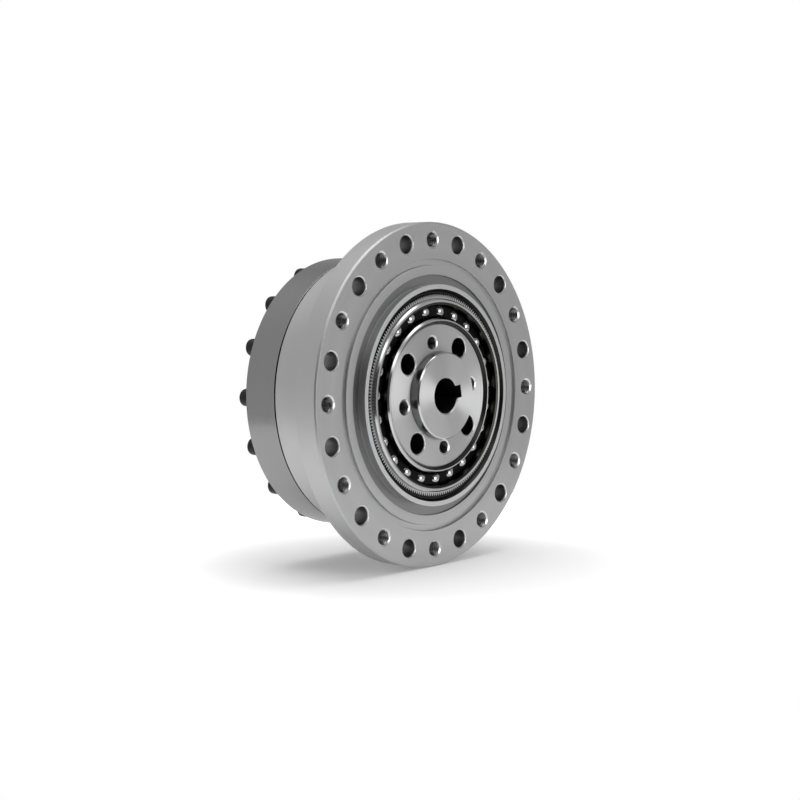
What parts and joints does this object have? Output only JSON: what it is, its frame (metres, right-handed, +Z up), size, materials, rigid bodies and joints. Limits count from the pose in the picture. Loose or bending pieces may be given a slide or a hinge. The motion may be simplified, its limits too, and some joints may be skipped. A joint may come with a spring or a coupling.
{
  "type": "strain wave gear",
  "caption": "Housed strain wave gear unit: bolted flange with internal ring teeth, flexible toothed cup, elliptical ball-bearing wave generator with keyed hub, crossed roller output.",
  "frame": {"origin": "centre of the mounting flange's front face, on the gear axis", "axes": "+Y along the gear axis from the input side to the output side, +Z up, +X to the right seen from the input side"},
  "size_m": [0.107, 0.0491, 0.107],
  "materials": {
    "flange_steel": "fine turned satin steel",
    "race_steel": "ground bearing steel",
    "spring_steel": "ground thin alloy steel with fine teeth",
    "plug_steel": "face-turned steel with radial sheen",
    "ball_steel": "polished bearing balls and rollers",
    "black_screws": "black oxide socket screws",
    "seal_rubber": "black nitrile rubber",
    "cage_plastic": "black moulded polyamide"
  },
  "bodies": {
    "housing": {"circular_spline_flange": "flange_steel", "joint_o_ring": "seal_rubber", "outer_race_ring": "race_steel", "output_shaft_seal": "seal_rubber", "body_screws": "black_screws"},
    "wave_generator": {"cam_plug": "plug_steel", "wave_bearing_inner_race": "race_steel"},
    "ball_set": {"wave_bearing_balls": "ball_steel", "wave_bearing_cage": "cage_plastic"},
    "output": {"output_flange": "flange_steel", "front_race_ring": "race_steel", "front_race_screws": "black_screws", "flexspline": "spring_steel", "clamp_ring": "race_steel", "clamp_screws": "black_screws", "dowel_pins": "ball_steel", "wave_bearing_outer_race": "race_steel"},
    "roller_set": {"crossed_rollers_leaning_back": "ball_steel", "crossed_rollers_leaning_front": "ball_steel", "roller_spacers": "cage_plastic"}
  },
  "joints": [
    {"name": "input_turn", "type": "hinge", "parent": "housing", "child": "wave_generator", "pos_m": [0, 0, 0], "axis": [0, 1, 0], "continuous": true},
    {"name": "output_turn", "type": "hinge", "parent": "housing", "child": "output", "pos_m": [0, 0, 0], "axis": [0, 1, 0], "continuous": true, "deforming": ["flexspline", "wave_bearing_outer_race"]},
    {"name": "ball_turn", "type": "hinge", "parent": "housing", "child": "ball_set", "pos_m": [0, 0, 0], "axis": [0, 1, 0], "continuous": true, "deforming": ["wave_bearing_balls", "wave_bearing_cage"]},
    {"name": "roller_turn", "type": "hinge", "parent": "housing", "child": "roller_set", "pos_m": [0, 0, 0], "axis": [0, 1, 0], "continuous": true}
  ],
  "couplings": [
    {"joint": "output_turn", "follows": "input_turn", "ratio": -0.01},
    {"joint": "ball_turn", "follows": "input_turn", "ratio": 0.44144},
    {"joint": "roller_turn", "follows": "input_turn", "ratio": -0.004732}
  ]
}
